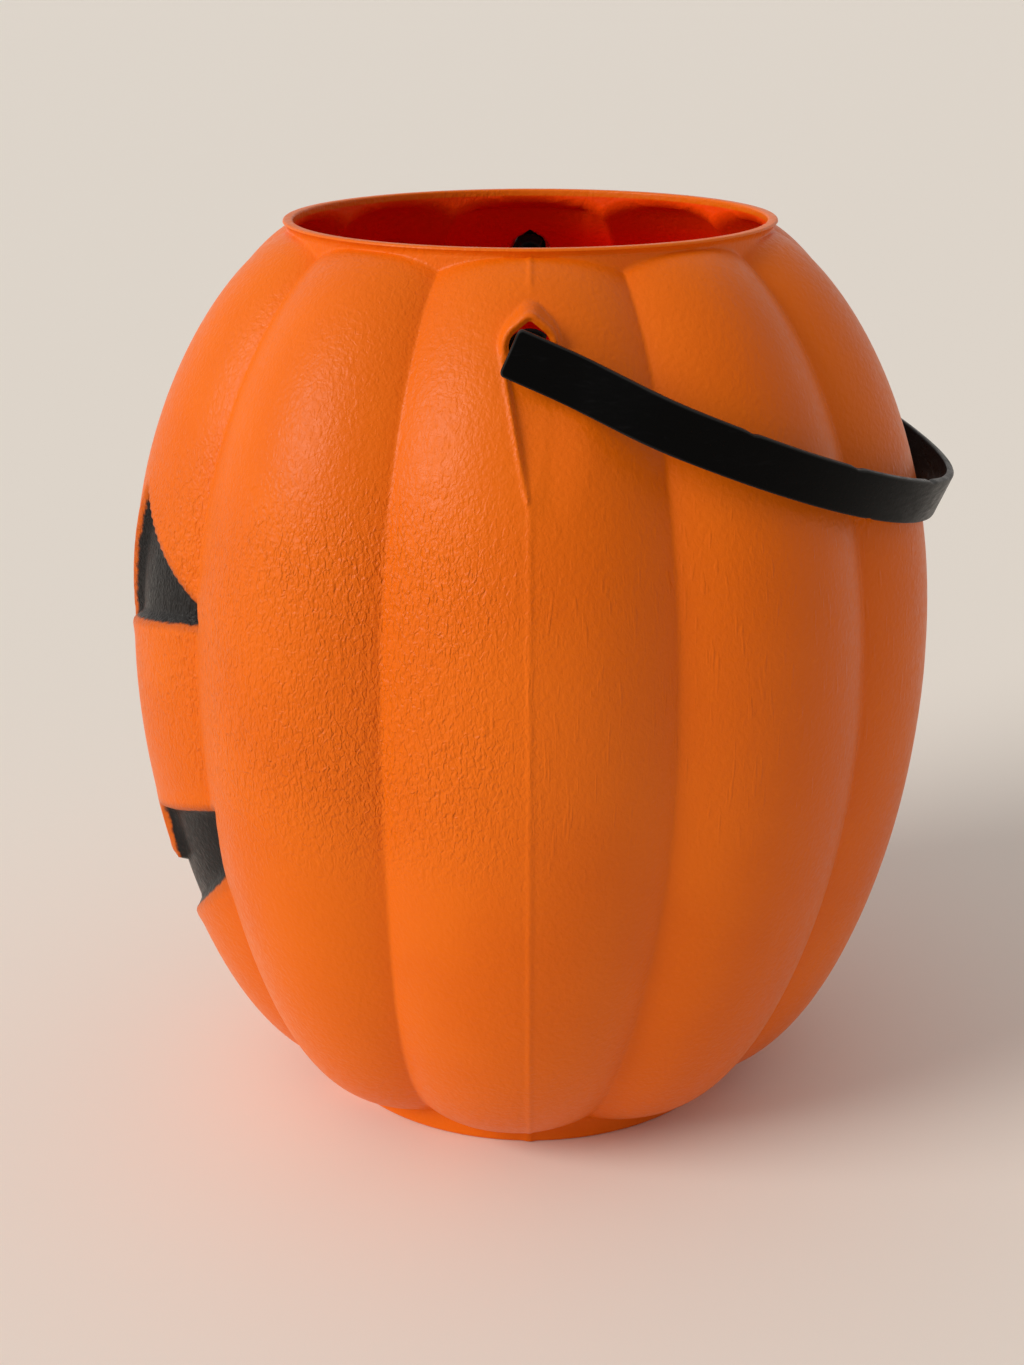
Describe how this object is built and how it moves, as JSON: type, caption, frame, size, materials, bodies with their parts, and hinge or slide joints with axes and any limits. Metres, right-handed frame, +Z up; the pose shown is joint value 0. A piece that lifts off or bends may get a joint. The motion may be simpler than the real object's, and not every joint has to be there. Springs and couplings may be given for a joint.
{
  "type": "pumpkin candy pail",
  "caption": "Hollow pumpkin-shaped candy pail with a carved face, an open mouth and a strap handle that swings on studs in its shoulders.",
  "frame": {"origin": "centre of the ring foot, on the floor", "axes": "+Z up; the carved face looks to -Y and the handle lies at the back, +Y; the handle's pivot runs along X"},
  "size_m": [0.1892, 0.1902, 0.21],
  "materials": {
    "pail_plastic": "satin orange polyethylene with a moulded leather grain, face recesses painted black",
    "strap_plastic": "satin black polyethylene"
  },
  "bodies": {
    "pail": {"pail_shell": "pail_plastic"},
    "handle": {"handle_strap": "strap_plastic"}
  },
  "joints": [
    {"name": "handle_swing", "type": "hinge", "parent": "pail", "child": "handle", "pos_m": [0, 0, 0.192], "axis": [1, 0, 0], "range_deg": [0, 228]}
  ]
}
